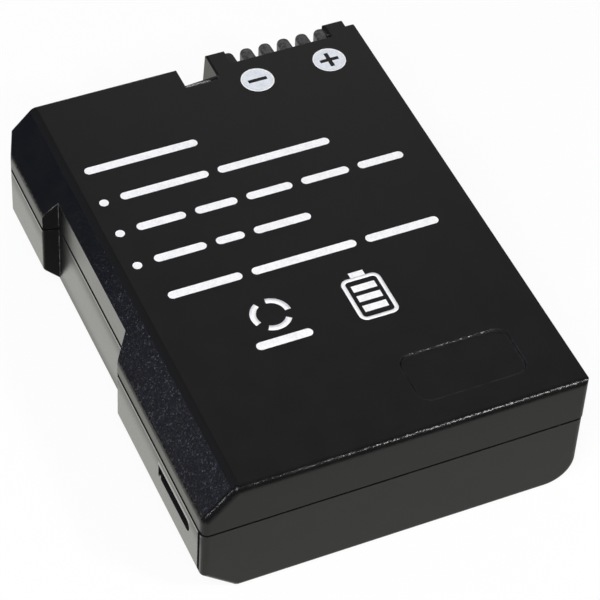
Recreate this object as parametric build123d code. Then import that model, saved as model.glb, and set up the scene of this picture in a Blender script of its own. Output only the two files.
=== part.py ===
from build123d import *
import os

# A slim two-cell camera battery: a moulded case welded from two shells, with a comb of contact
# slots at one end, and two flat cells and a protection board inside.
# Millimetres. X runs across the width, Y towards the contacts, Z up from the floor of the case.

# Outside of the case
pack_width = 38.0
pack_length = 53.0
pack_height = 14.0
cover_height = 5.1

# Long edges of the case, seen along its length
top_bevel_width = 3.2
top_bevel_drop = 3.35
top_bevel_crease = 1.0
top_bevel_blend = 1.0
floor_bevel_width = 3.5
floor_bevel_height = 3.1
floor_bevel_blend = 0.8
right_floor_radius = 3.0
right_rim_radius = 0.2
near_rim_radius = 0.7
far_rim_radius = 0.3
case_step = 0.08

# Corners of the case, seen from above and from the side
near_left_radius = 0.75
near_right_radius = 0.6
far_right_radius = 0.5
end_floor_radius = 0.6
far_bevel_width = 1.05
far_bevel_length = 2.5

# Walls of the two shells
wall = 1.0
roof = 1.1
floor = 1.1

# Weld seam: a lip on the lower shell stands in a rebate of the cover
lip_height = 0.9
lip_thickness = 0.45
lip_clearance = 0.06
seam_groove_height = 0.25
seam_groove_depth = 0.4

# Guide recess along the left side
recess_depth = 1.55
recess_length = 17.75
recess_setback = 11.85
recess_far_draft = 0.4
recess_near_ramp = 1.9
recess_edge_radius = 0.35

# Finger slot low on the left side, a nib in it, and the line that the mould's side core leaves
finger_slot_length = 7.35
finger_slot_height = 1.45
finger_slot_depth = 0.8
finger_slot_radius = 0.69
finger_slot_margin = 3.0
finger_slot_drop = 2.3
nib_width = 0.3
nib_height = 0.4
nib_setback = 0.3
finger_slot_backing = 0.6
core_line_setback = 0.67
core_line_width = 0.3
core_line_depth = 0.3

# Contact end: two guards, and between them a comb of contact slots with a rounded fin on each side
guard_reach = 0.9
left_guard_width = 1.98
right_guard_width = 2.25
guard_edge_radius = 0.3
guard_top_radius = 0.25
left_guard_side_radius = 0.2
right_guard_side_radius = 0.4
left_guard_draft = 0.25
relief_width = 0.4
relief_length = 0.5
relief_depth = 1.5
right_shoulder = 1.0
slot_count = 5
slot_pitch = 2.03
slot_width = 0.7
slot_length = 2.04
slot_drop = 4.0
fin_setback = 0.05
fin_tilt = 4.0
fin_nose_radius = 0.6
fin_crest_radius = 0.5
stub_fin_width = 0.9
last_fin_width = 1.06
sill_setback = 0.5
window_head = 0.4

# Latch notch beside the left guard: a sloped lip and a ledge below the roof
notch_width = 3.57
notch_depth = 2.9
notch_lip = 0.5
notch_step = 0.24
notch_ledge_left = 0.01
notch_ledge_right = 0.3

# Shallow label pocket in the roof
pocket_length = 11.0
pocket_width = 5.85
pocket_depth = 0.18
pocket_slope = 45.0
pocket_radius = 1.3
pocket_right_margin = 4.5
pocket_near_margin = 3.1

# Cells, with the pads and tape that hold them
cell_clearance = 0.2
cell_base_radius = 0.6
cell_button_height = 0.5
rivet_width = 3.0
tab_width = 4.0
button_tall = 2.2
button_radius = 0.4
tab_offset = 9.0
pad_thickness = 0.25
pad_inset = 4.0
tape_thickness = 0.3
tape_inset = 2.0
lid_sheet_thickness = 0.2
lid_sheet_radius = 2.5
lid_window_gap = 0.3

# Protection board and the space for it behind the cells
lid_bay = 2.95
board_thickness = 0.8
board_clearance = 0.25
rib_thickness = 0.8
rib_width = 1.2
rib_height = 3.0
rib_gap = 0.1
rib_root = 0.5
rib_offset = 13.0

# Nickel straps and contact clips
strap_thickness = 0.15
strap_width = 3.0
strap_tall = 2.2
clip_side_gap = 0.05
clip_leaf = 0.12
clip_stem_width = 0.3
clip_foot_width = 1.2
clip_foot_thickness = 0.15
clip_web = 0.25
clip_end_gap = 0.15
clip_root_inset = 0.3

# Parts soldered on the board: width, height, thickness
chip_size = (3.0, 3.0, 0.8)
transistor_size = (4.4, 3.0, 0.9)
thermistor_size = (1.6, 0.8, 0.7)
small_part_size = (1.0, 0.5, 0.5)
chip_offset = 3.2
thermistor_offset = 8.0
small_part_pitch = 2.0
small_part_count = 4
small_part_drop = 2.4

# Planes that the pieces share
left = -pack_width / 2
right = pack_width / 2
near = -pack_length / 2
far = pack_length / 2
shoulder = far - guard_reach
seam = pack_height - cover_height
ceiling = pack_height - roof
recess_floor = left + recess_depth
recess_far = shoulder - recess_setback
recess_near = recess_far - recess_length
slot_floor = far - slot_length
slot_bottom = pack_height - slot_drop
right_guard_left = right - right_shoulder - right_guard_width
last_slot = right_guard_left - last_fin_width - slot_width / 2
slot_centres = [last_slot - slot_pitch * k for k in reversed(range(slot_count))]
fin_width = slot_pitch - slot_width
left_guard_right = slot_centres[0] - slot_width / 2 - stub_fin_width
left_guard_left = left_guard_right - left_guard_width
notch_left = left_guard_left - notch_width
notch_edge = shoulder - notch_depth
notch_floor = notch_edge + notch_lip


def section_prism(outline, start, end):
    """A face drawn in X and Z, drawn out along Y."""
    return extrude(Plane.XZ.offset(-start) * outline, amount=start - end)


def plan_prism(outline, low, high):
    """A face drawn in X and Y, drawn up along Z."""
    return extrude(Pos(0, 0, low) * outline, amount=high - low)


def rounded_outline(corners):
    """A closed face from corner points, each with the radius that rounds it."""
    points = [(x, y) for x, y, radius in corners]
    radii = [radius for x, y, radius in corners]
    return make_face(FilletPolyline(*points, radius=radii, close=True))


def block(low, high):
    """A box between two opposite corners."""
    size = Vector(*high) - Vector(*low)
    return Pos(*low) * Box(size.X, size.Y, size.Z, align=(Align.MIN, Align.MIN, Align.MIN))


def corner_waste(across, along, radius, across_sign, along_sign):
    """What a square outer corner loses when it is rounded; the signs point out of the corner."""
    outward = (
        Align.MIN if across_sign > 0 else Align.MAX,
        Align.MIN if along_sign > 0 else Align.MAX,
    )
    centre = Pos(across - across_sign * radius, along - along_sign * radius)
    return centre * Rectangle(2 * radius, 2 * radius, align=outward) - centre * Circle(radius)


def upright_waste(outline):
    """A cut from above through the whole height."""
    return plan_prism(outline, -wall, pack_height + wall)


def end_waste(outline):
    """A cut along an end edge, across the whole width."""
    return extrude(Plane.YZ.offset(left - wall) * outline, amount=pack_width + 2 * wall)


def recess_corners():
    """The guide recess in order from far to near, where its ends meet the left side."""
    return [
        (left, recess_far + recess_far_draft),
        (recess_floor, recess_far),
        (recess_floor, recess_near),
        (left, recess_near - recess_near_ramp),
    ]


def recess_waste():
    """The guide recess: a steep far end and a ramped near end, open past the left side."""
    outside = left - recess_depth
    return upright_waste(make_face(Polyline(
        (outside, recess_far + 2 * recess_far_draft),
        (recess_floor, recess_far),
        (recess_floor, recess_near),
        (outside, recess_near - 2 * recess_near_ramp),
        close=True,
    )))


def shared_waste(right_side):
    """Cuts that both shells take: the guide recess and the upright corners."""
    return (
        recess_waste()
        + upright_waste(corner_waste(left, near, near_left_radius, -1, -1))
        + upright_waste(corner_waste(right_side, near, near_right_radius, 1, -1))
    )


def far_left_waste(inner_edge):
    """The contact end left of an edge, cut back to the shoulder, with the slanted far corner."""
    return upright_waste(make_face(Polyline(
        (left - far_bevel_width, far + wall),
        (left - far_bevel_width, shoulder - 2 * far_bevel_length),
        (left + far_bevel_width, shoulder),
        (inner_edge, shoulder),
        (inner_edge, far + wall),
        close=True,
    )))


def section_outline(right_side, rounded=True):
    """The case cut across its length: bevels on the left, a large radius low on the right."""
    corners = [
        (left + floor_bevel_width, 0, floor_bevel_blend),
        (right_side, 0, right_floor_radius),
        (right_side, pack_height, 0),
        (left + top_bevel_width, pack_height, top_bevel_crease),
        (left, pack_height - top_bevel_drop, top_bevel_blend),
        (left, floor_bevel_height, floor_bevel_blend),
    ]
    if rounded:
        return rounded_outline(corners)
    return make_face(Polyline(*[corner[:2] for corner in corners], close=True))


def case_outline(right_side):
    """The lower shell from above."""
    return rounded_outline([
        (left, near, near_left_radius),
        (right_side, near, near_right_radius),
        (right_side, shoulder, far_right_radius),
        (left + far_bevel_width, shoulder, 0),
        (left, shoulder - far_bevel_length, 0),
        *[(across, along, 0) for across, along in recess_corners()],
    ])


def cavity_plan(growth=0.0):
    """The hollow from above: the outside less the wall, grown by what the seam lip needs."""
    outside = make_face(Polyline(
        (left, near),
        (right, near),
        (right, slot_floor),
        (left_guard_left, slot_floor),
        (left_guard_left, notch_floor),
        (notch_left, notch_floor),
        (notch_left, shoulder),
        (left + far_bevel_width, shoulder),
        (left, shoulder - far_bevel_length),
        *recess_corners(),
        close=True,
    ))
    return offset(outside, growth - wall, kind=Kind.INTERSECTION)


def cavity():
    """The hollow inside both shells, under the bevels and between floor and roof."""
    upright = plan_prism(cavity_plan(), floor, ceiling)
    inside = offset(section_outline(right, rounded=False), -wall, kind=Kind.INTERSECTION)
    return upright & section_prism(inside, near, far)


def contact_fin(centre):
    """One rounded fin of the comb, tilted down to its nose; its root runs back into the roof."""
    nose = far - fin_setback
    root = slot_floor - fin_crest_radius
    half = fin_width / 2
    outline = rounded_outline([
        (centre - half, root, 0),
        (centre + half, root, 0),
        (centre + half, nose, fin_nose_radius),
        (centre - half, nose, fin_nose_radius),
    ])
    fin = plan_prism(outline, slot_bottom - fin_setback, pack_height)
    crest = fin.faces().sort_by(Axis.Z)[-1].edges().sort_by(Axis.Y)[1:]
    hinge = Axis((centre, root, pack_height), (1, 0, 0))
    return fillet(crest, fin_crest_radius).rotate(hinge, -fin_tilt)


def comb():
    """The fins on both sides of each slot, and the sill below them."""
    sill = block(
        (left_guard_right - sill_setback, slot_floor - sill_setback, seam),
        (right_guard_left + sill_setback, far - sill_setback, slot_bottom),
    )
    for centre in slot_centres:
        sill += contact_fin(centre - slot_pitch / 2)
    return sill + contact_fin(last_slot + slot_pitch / 2)


def latch_notch():
    """The notch beside the left guard, cut through below its ledge, with a lip sloping down to it."""
    through = upright_waste(make_face(Polyline(
        (notch_left, far + wall),
        (notch_left, notch_floor + notch_ledge_left),
        (left_guard_left, notch_floor + notch_ledge_right),
        (left_guard_left, far + wall),
        close=True,
    )))
    lip = make_face(Polyline(
        (notch_edge, pack_height),
        (far, pack_height),
        (far, pack_height - notch_step),
        (notch_floor, pack_height - notch_step),
        close=True,
    ))
    return through + extrude(Plane.YZ.offset(notch_left) * lip, amount=notch_width)


def guard_waste():
    """What the guards lose where their upright and top edges are rounded."""
    waste = upright_waste(corner_waste(right - right_shoulder, far, guard_edge_radius, 1, 1))
    waste += upright_waste(corner_waste(right_guard_left, far, guard_edge_radius, -1, 1))
    waste += end_waste(corner_waste(far, pack_height, guard_top_radius, 1, 1))
    left_edge = corner_waste(left_guard_left, pack_height, left_guard_side_radius, -1, 1)
    right_edge = corner_waste(right_guard_left, pack_height, right_guard_side_radius, -1, 1)
    return waste + section_prism(left_edge, notch_floor, far) + section_prism(right_edge, slot_floor, far)


def guard_draft():
    """The wedge by which the left guard thickens towards the seam."""
    wedge = make_face(Polyline(
        (left_guard_left, pack_height - left_guard_side_radius),
        (left_guard_left, seam),
        (left_guard_left - left_guard_draft, seam),
        close=True,
    ))
    return section_prism(wedge, notch_floor, far)


def guard_relief():
    """The pit where the last fin meets the right guard."""
    return block(
        (right_guard_left - relief_width / 2, slot_floor, pack_height - relief_depth),
        (right_guard_left + relief_width / 2, slot_floor + relief_length, pack_height + wall),
    )


def cover_block():
    """The cover before it is hollowed: rounded rims, and the block that the guards are cut from."""
    body = section_prism(section_outline(right), near, shoulder)
    body &= block((left - wall, near - wall, seam), (right + wall, far, pack_height + wall))
    body -= far_left_waste(left_guard_left)
    near_edges = body.faces().sort_by(Axis.Y)[0].edges()
    body = fillet(near_edges.sort_by(Axis.Z)[1:].sort_by(Axis.X)[:-1], near_rim_radius)
    far_rim = [
        edge
        for end_face in body.faces().sort_by(Axis.Y)[-2:]
        for edge in end_face.edges().filter_by(Axis.Z, reverse=True).sort_by(Axis.Z)[1:]
    ]
    body = fillet(far_rim, far_rim_radius)
    body -= section_prism(corner_waste(right, pack_height, right_rim_radius, 1, 1), near, far)
    body -= upright_waste(corner_waste(right, shoulder, far_right_radius, 1, 1))
    return body + block(
        (left_guard_left, slot_floor - wall, seam),
        (right - right_shoulder, far, pack_height),
    )


def upper_cover():
    """The cover: roof, bevel and contact comb, hollow below, with a rebate for the seam lip."""
    body = cover_block()
    body -= shared_waste(right)
    body -= latch_notch()
    body -= block((left_guard_right, slot_floor, 0), (right_guard_left, far + wall, pack_height + wall))
    body += guard_draft()
    body -= guard_waste()
    body += comb()
    body -= guard_relief()
    body -= cavity()
    body -= plan_prism(cavity_plan(lip_thickness + lip_clearance), seam, seam + lip_height + lip_clearance)
    for centre in slot_centres:
        body -= block(
            (centre - slot_width / 2, slot_floor - wall - lip_thickness, slot_bottom),
            (centre + slot_width / 2, slot_floor + wall, ceiling - window_head),
        )
    pocket = Pos(
        right - pocket_right_margin - pocket_length / 2,
        near + pocket_near_margin + pocket_width / 2,
        pack_height,
    ) * RectangleRounded(pocket_length, pocket_width, pocket_radius)
    return body - extrude(pocket, amount=-pocket_depth, taper=pocket_slope)


def finger_slot():
    """The blind slot in the left wall: its near end is round, and a nib stands by its far end."""
    start = near + finger_slot_margin
    end = start + finger_slot_length
    top = seam - finger_slot_drop + finger_slot_height / 2
    bottom = top - finger_slot_height
    nib_end = end - nib_setback
    outline = rounded_outline([
        (start, bottom, finger_slot_radius),
        (nib_end - nib_width, bottom, 0),
        (nib_end - nib_width, bottom + nib_height, 0),
        (nib_end, bottom + nib_height, 0),
        (nib_end, bottom, 0),
        (end, bottom, 0),
        (end, top, 0),
        (start, top, finger_slot_radius),
    ])
    return extrude(Plane.YZ.offset(left) * outline, amount=finger_slot_depth)


def lower_case():
    """The lower shell: a tray with the floor bevel, a seam lip, and ribs that hold the board."""
    right_side = right - case_step
    body = section_prism(section_outline(right_side), near, shoulder)
    body &= block((left - wall, near - wall, -wall), (right + wall, far, seam))
    near_edges = body.faces().sort_by(Axis.Y)[0].edges()
    body = fillet(near_edges.filter_by(Axis.Z, reverse=True).sort_by(Axis.Z)[:-1], end_floor_radius)
    body -= shared_waste(right_side)
    recess_edge = (left, recess_far + recess_far_draft, seam / 2)
    body = fillet(body.edges().filter_by(Axis.Z).sort_by_distance(recess_edge)[:1], recess_edge_radius)
    body -= far_left_waste(right)
    body -= upright_waste(corner_waste(right_side, shoulder, far_right_radius, 1, 1))
    body -= end_waste(corner_waste(shoulder, 0, end_floor_radius, 1, -1))
    rim_core = offset(case_outline(right_side), -seam_groove_depth, kind=Kind.INTERSECTION)
    rim_band = block((left - wall, near - wall, seam - seam_groove_height), (right + wall, far, seam))
    body -= rim_band - plan_prism(rim_core, 0, pack_height)
    slot_backing = block(
        (left, near, floor_bevel_height),
        (
            left + finger_slot_depth + finger_slot_backing,
            near + 2 * finger_slot_margin + finger_slot_length,
            seam,
        ),
    )
    body -= cavity() - slot_backing
    lip = plan_prism(cavity_plan(lip_thickness), seam, seam + lip_height)
    body += lip - plan_prism(cavity_plan(), floor, ceiling)
    for rib_side in (-1, 1):
        rib_place = cell_middle + rib_side * rib_offset
        body += block(
            (rib_place - rib_width / 2, board_near - rib_gap - rib_thickness, floor - rib_root),
            (rib_place + rib_width / 2, board_near - rib_gap, floor + rib_height),
        )
    body -= finger_slot()
    line_place = near + core_line_setback
    return body - block(
        (left, line_place, floor_bevel_height),
        (left + core_line_depth, line_place + core_line_width, seam),
    )


# Room for the cells and the board
board_far = notch_floor - wall - board_clearance
board_near = board_far - board_thickness
cell_left = recess_floor + wall + cell_clearance
cell_right = right - wall - cell_clearance
cell_near = near + wall + cell_clearance
cell_far = board_near - lid_bay
cell_width = cell_right - cell_left
cell_middle = (cell_left + cell_right) / 2
cell_thickness = (ceiling - floor - 2 * pad_thickness - tape_thickness) / 2
lower_centre = floor + pad_thickness + cell_thickness / 2
upper_centre = lower_centre + cell_thickness + tape_thickness
stack_height = 2 * cell_thickness + tape_thickness
stack_centre = (lower_centre + upper_centre) / 2
button_face = cell_far + cell_button_height


def lid_button(width, across, height, start, growth=0.0):
    """A raised pad on a cell's lid, or with some growth the window that clears it."""
    outline = RectangleRounded(width + 2 * growth, button_tall + 2 * growth, button_radius)
    return section_prism(Pos(across, height) * outline, start, button_face)


def cell(height, tab_side):
    """A flat drawn can with round sides, its lid towards the board: a rivet and a welded tab."""
    outline = Pos(cell_middle, height) * SlotOverall(cell_width, cell_thickness)
    can = section_prism(outline, cell_near, cell_far)
    can = fillet(can.faces().sort_by(Axis.Y)[0].edges(), cell_base_radius)
    can += lid_button(rivet_width, cell_middle, height, cell_far)
    return can + lid_button(tab_width, cell_middle + tab_side * tab_offset, height, cell_far)


def flat_sheet(inset, bottom, thickness):
    """A pad or tape on the flat of the cells."""
    return block(
        (cell_left + cell_thickness / 2 + inset, cell_near + inset, bottom),
        (cell_right - cell_thickness / 2 - inset, cell_far - inset, bottom + thickness),
    )


def lid_sheet():
    """Insulating sheet over both lids, with a window for each rivet and tab."""
    outline = Pos(cell_middle, stack_centre) * RectangleRounded(cell_width, stack_height, lid_sheet_radius)
    sheet = section_prism(outline, cell_far, cell_far + lid_sheet_thickness)
    for height, tab_side in ((lower_centre, -1), (upper_centre, 1)):
        tab_place = cell_middle + tab_side * tab_offset
        sheet -= lid_button(rivet_width, cell_middle, height, cell_far, lid_window_gap)
        sheet -= lid_button(tab_width, tab_place, height, cell_far, lid_window_gap)
    return sheet


def circuit_board():
    """The board stands across the case and follows its section, clear of the recess wall."""
    inside = offset(section_outline(right, rounded=False), -wall - board_clearance, kind=Kind.INTERSECTION)
    board = section_prism(inside, board_near, board_far)
    return board & block(
        (recess_floor + wall + board_clearance, near, floor + board_clearance),
        (right, far, ceiling - board_clearance),
    )


def strap_plate(start, end, low, high):
    """A strip lying flat on the lids' raised pads."""
    return block((start, button_face, low), (end, button_face + strap_thickness, high))


def strap_leg(across, low):
    """A strip bent away from the lids to the board's face."""
    return block(
        (across - strap_width / 2, button_face, low),
        (across + strap_width / 2, board_near, low + strap_thickness),
    )


def straps():
    """Three straps: the link between the cells with its middle tap, and one lead from each end."""
    half = strap_width / 2
    rise = strap_tall / 2
    link_place = cell_middle - tab_offset
    lead_place = cell_middle + tab_offset
    link = strap_plate(link_place - half, link_place + half, lower_centre - rise, upper_centre + rise)
    link += strap_plate(link_place - half, cell_middle + half, upper_centre - rise, upper_centre + rise)
    link += strap_leg(link_place, upper_centre + rise - strap_thickness)
    positive = strap_plate(lead_place - half, lead_place + half, upper_centre - rise, upper_centre + rise)
    positive += strap_leg(lead_place, upper_centre + rise - strap_thickness)
    negative = strap_plate(cell_middle - half, lead_place + half, lower_centre - rise, lower_centre + rise)
    negative += strap_leg(lead_place, lower_centre - rise)
    return {"series_strap": link, "positive_strap": positive, "negative_strap": negative}


def contact_clip(centre):
    """A fork of spring strip in a slot's window, on a stem with a foot soldered to the board."""
    half = slot_width / 2 - clip_side_gap
    root = slot_floor - wall - clip_root_inset
    tip = slot_floor - clip_end_gap
    plan = Rectangle(clip_foot_width, clip_foot_thickness, align=(Align.CENTER, Align.MIN))
    plan = Pos(centre, board_far) * plan
    stem = Rectangle(clip_stem_width, root - board_far, align=(Align.CENTER, Align.MIN))
    plan += Pos(centre, board_far) * stem
    fork = Rectangle(2 * half, tip - root, align=(Align.CENTER, Align.MIN))
    throat = Rectangle(2 * (half - clip_leaf), tip - root - clip_web, align=(Align.CENTER, Align.MAX))
    plan += Pos(centre, root) * fork - Pos(centre, tip) * throat
    return plan_prism(plan, slot_bottom + clip_end_gap, ceiling - window_head - clip_end_gap)


def board_part(size, across, height):
    """A part soldered on the face of the board that looks at the cells."""
    width, tall, thickness = size
    return block(
        (across - width / 2, board_near - thickness, height - tall / 2),
        (across + width / 2, board_near, height + tall / 2),
    )


def small_parts():
    """A row of chip resistors and capacitors, each its own solid."""
    start = cell_middle - small_part_pitch * (small_part_count - 1) / 2
    row = [
        board_part(small_part_size, start + small_part_pitch * k, stack_centre - small_part_drop)
        for k in range(small_part_count)
    ]
    return Compound(children=row)


pieces = {
    "upper_cover": upper_cover(),
    "lower_case": lower_case(),
    "lower_cell": cell(lower_centre, -1),
    "upper_cell": cell(upper_centre, 1),
    "floor_pad": flat_sheet(pad_inset, floor, pad_thickness),
    "cell_tape": flat_sheet(tape_inset, lower_centre + cell_thickness / 2, tape_thickness),
    "ceiling_pad": flat_sheet(pad_inset, ceiling - pad_thickness, pad_thickness),
    "lid_sheet": lid_sheet(),
    "circuit_board": circuit_board(),
    "protection_chip": board_part(chip_size, cell_middle - chip_offset, stack_centre),
    "transistor_pair": board_part(transistor_size, cell_middle + chip_offset, stack_centre),
    "thermistor": board_part(thermistor_size, cell_middle - thermistor_offset, stack_centre),
    "small_parts": small_parts(),
    **straps(),
}
for number, centre in enumerate(slot_centres, start=1):
    pieces[f"contact_clip_{number}"] = contact_clip(centre)

os.makedirs("parts", exist_ok=True)
for name, piece in pieces.items():
    export_step(piece, f"parts/{name}.step")
    print(name, round(piece.volume, 2))
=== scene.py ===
# %% [markdown]
# # A slim camera battery
# The real thing is two black mouldings welded together round a pair of flat cells.
# Its shape comes from the imported frame, which is loaded here and never moved.
# This lesson gives it a camera, light, moulded finishes and a print of plain shapes.

# %% Load the frame
import math
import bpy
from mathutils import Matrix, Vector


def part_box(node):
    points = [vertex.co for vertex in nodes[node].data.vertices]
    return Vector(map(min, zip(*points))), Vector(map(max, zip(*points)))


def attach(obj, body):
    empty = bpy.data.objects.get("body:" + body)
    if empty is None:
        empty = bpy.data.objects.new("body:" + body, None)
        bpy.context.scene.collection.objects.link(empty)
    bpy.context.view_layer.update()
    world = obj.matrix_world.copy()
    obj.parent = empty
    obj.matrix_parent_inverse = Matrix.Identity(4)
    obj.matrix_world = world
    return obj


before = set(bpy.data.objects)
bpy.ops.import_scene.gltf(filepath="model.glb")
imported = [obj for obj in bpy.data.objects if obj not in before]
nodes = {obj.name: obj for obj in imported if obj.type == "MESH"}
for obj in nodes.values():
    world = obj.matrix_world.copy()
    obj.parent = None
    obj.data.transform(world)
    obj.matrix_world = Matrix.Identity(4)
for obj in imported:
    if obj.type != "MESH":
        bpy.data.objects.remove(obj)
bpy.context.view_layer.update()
from types import SimpleNamespace

import bpy
from mathutils import Matrix, Vector

scene = bpy.context.scene
mm = 0.001

# %% [markdown]
# ## Camera
# A product camera usually looks down on a battery from in front, with a long lens so that
# opposite edges stay nearly parallel. A camera can be aimed with a Track To constraint, but
# four angles and lengths say the same thing and need no helper object: where it looks, from
# which side, from how high, and how far it leans to one side.

# %% Place the camera
picture_size = 600
focal_pixels = 2783.2
film_width = 36.0
view_target = Vector((1.264, -1.938, 7.0)) * mm
view_distance = 266.9 * mm
view_azimuth = math.radians(-26.377)
view_elevation = math.radians(46.987)
view_lean = math.radians(3.619)
nearest_seen = 5 * mm
farthest_seen = 20.0

towards_camera = Vector((
    math.sin(view_azimuth) * math.cos(view_elevation),
    -math.cos(view_azimuth) * math.cos(view_elevation),
    math.sin(view_elevation),
))
level_right = Vector((math.cos(view_azimuth), math.sin(view_azimuth), 0))
level_up = towards_camera.cross(level_right)
camera_right = level_right * math.cos(view_lean) + level_up * math.sin(view_lean)
camera_up = level_up * math.cos(view_lean) - level_right * math.sin(view_lean)

camera = bpy.data.objects.new("camera", bpy.data.cameras.new("camera"))
camera.data.sensor_width = film_width
camera.data.lens = focal_pixels / picture_size * film_width
camera.data.clip_start = nearest_seen
camera.data.clip_end = farthest_seen
turn = Matrix((camera_right, camera_up, towards_camera)).transposed()
camera_place = view_target + towards_camera * view_distance
camera.matrix_world = Matrix.Translation(camera_place) @ turn.to_4x4()
scene.collection.objects.link(camera)
scene.camera = camera
print("camera:", round(camera.data.lens), "mm lens at", [round(v / mm) for v in camera.location], "mm")

# %% [markdown]
# ## Node arithmetic
# A procedural finish is a sum of small patterns: grain, mottling, worn edges. Nodes can be
# wired by hand, but then a sum of three patterns is a page of links. Here one small class
# wraps a socket, so that `0.3 + grain * wall` adds its own Math nodes. Every other node comes
# from its `node` method, which sets the node up and then fills or links its sockets.

# %% A socket that can be added and multiplied


class Signal:
    """A socket in a node tree. Arithmetic on it adds Math nodes, and node() adds any other node."""

    def __init__(self, tree, socket=None):
        self.tree = tree
        self.socket = socket

    def node(self, kind, settings=None, sockets=None, output=None):
        made = self.tree.nodes.new(kind)
        for name, value in (settings or {}).items():
            setattr(made, name, value)
        places = {place.name: place for place in reversed(made.inputs)}
        places.update({place.identifier: place for place in made.inputs})
        for name, value in (sockets or {}).items():
            for item in value if isinstance(value, list) else [value]:
                if isinstance(item, Signal):
                    self.tree.links.new(item.socket, places[name])
                else:
                    places[name].default_value = item
        outputs = [s for s in made.outputs if output in (None, s.name, s.identifier)]
        return Signal(self.tree, outputs[0] if outputs else None)

    def math(self, operation, first, second):
        sockets = {"Value": first, "Value_001": second}
        return self.node("ShaderNodeMath", {"operation": operation}, sockets)

    def __add__(self, other):
        return self.math("ADD", self, other)

    def __radd__(self, other):
        return self.math("ADD", other, self)

    def __sub__(self, other):
        return self.math("SUBTRACT", self, other)

    def __rsub__(self, other):
        return self.math("SUBTRACT", other, self)

    def __mul__(self, other):
        return self.math("MULTIPLY", self, other)

    def __rmul__(self, other):
        return self.math("MULTIPLY", other, self)

    def __truediv__(self, other):
        return self.math("DIVIDE", self, other)

    def __rtruediv__(self, other):
        return self.math("DIVIDE", other, self)

    def step(self, low, high):
        """0 at low, 1 at high, and a soft step between them."""
        return self.node(
            "ShaderNodeMapRange",
            {"interpolation_type": "SMOOTHSTEP"},
            {"Value": self, "From Min": low, "From Max": high},
        )


print("node arithmetic ready")

# %% [markdown]
# ## Floor and backdrop
# Small goods are photographed on a white sweep: the floor runs on into the backdrop with no
# edge. A big flat floor gives the same picture from any side. It is ordinary pale paint for light
# that bounces, and mostly plain white for what the eye sees, so it stays white and still keeps a
# faint shadow under the battery. In a real studio only the sheet near the battery is lit, and
# black plastic shows that: its walls mirror white paper and its rounded rims the dim room beyond.
# So reflections see a slightly warm white that fades out a hand's breadth away.

# %% Mix the sweep's paint
floor_paint = (0.90, 0.90, 0.89, 1)
floor_white = (1, 1, 1, 1)
floor_white_share = 0.91
lit_radius = (40 * mm, 100 * mm)
lit_white = (1.0, 1.0, 0.93, 1)
unlit_grey = (0.10, 0.10, 0.11, 1)


def largest(first, *others):
    """The largest of several values, so that masks join without adding up."""
    for other in others:
        first = first.math("MAXIMUM", first, other)
    return first


def blend(start, share, first, second):
    """A colour between two others."""
    sockets = {"Factor_Float": share, "A_Color": first, "B_Color": second}
    return start.node("ShaderNodeMix", {"data_type": "RGBA"}, sockets, "Result_Color")


def object_place(start):
    return start.node("ShaderNodeTexCoord", output="Object")


def light_path(start, kind):
    return start.node("ShaderNodeLightPath", output=kind)


def sweep_paint():
    material = bpy.data.materials.new("sweep_paint")
    material.use_nodes = True
    material.node_tree.nodes.clear()
    start = Signal(material.node_tree)
    distance = start.node(
        "ShaderNodeVectorMath", {"operation": "LENGTH"}, {"Vector": object_place(start)}, "Value"
    )
    from_eye, mirrored, through = [
        light_path(start, kind) for kind in ("Is Camera Ray", "Is Glossy Ray", "Is Transmission Ray")
    ]
    shade = blend(start, mirrored, floor_white, lit_white)
    shade = blend(start, distance.step(*lit_radius) * mirrored, shade, unlit_grey)
    paint = start.node("ShaderNodeBsdfDiffuse", sockets={"Color": floor_paint})
    white = start.node("ShaderNodeEmission", sockets={"Color": shade, "Strength": 1.0})
    share = largest(from_eye, mirrored, through) * floor_white_share
    mixed = start.node("ShaderNodeMixShader", sockets={"Fac": share, "Shader": paint, "Shader_001": white})
    start.node("ShaderNodeOutputMaterial", sockets={"Surface": mixed})
    return material


sweep_white = sweep_paint()
print("paint: white within", round(lit_radius[0] / mm), "mm, dim beyond", round(lit_radius[1] / mm), "mm")

# %% Make the sweep
floor_half_side = 3.0
floor_drop = 0.01 * mm

floor_mesh = bpy.data.meshes.new("sweep")
side = floor_half_side
floor_corners = [(-side, -side), (side, -side), (side, side), (-side, side)]
floor_mesh.from_pydata([(x, y, -floor_drop) for x, y in floor_corners], [], [(0, 1, 2, 3)])
floor_mesh.materials.append(sweep_white)
floor = bpy.data.objects.new("sweep", floor_mesh)
scene.collection.objects.link(floor)
print("sweep:", 2 * floor_half_side, "m square")

# %% [markdown]
# ## Studio light
# Black plastic has almost no colour of its own: what the eye sees is the room in its surface.
# A white room would turn the battery grey, so the dome is dim, a little bluer on the left where
# the bevel looks. A large key lamp stands in front on the left and does most of the lighting.
# The other lamps are small and weak, and each stands where one surface mirrors it to the eye. The
# left lamp wakes the grain of the bevel and the edge lamp the line where the bevel ends in front.
# The rim lamp draws the fine bright line along the near edge of the roof, the back panel lifts the
# far end of the roof and the comb, and the lip lamp finds the rounded lip of the latch notch.

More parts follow.
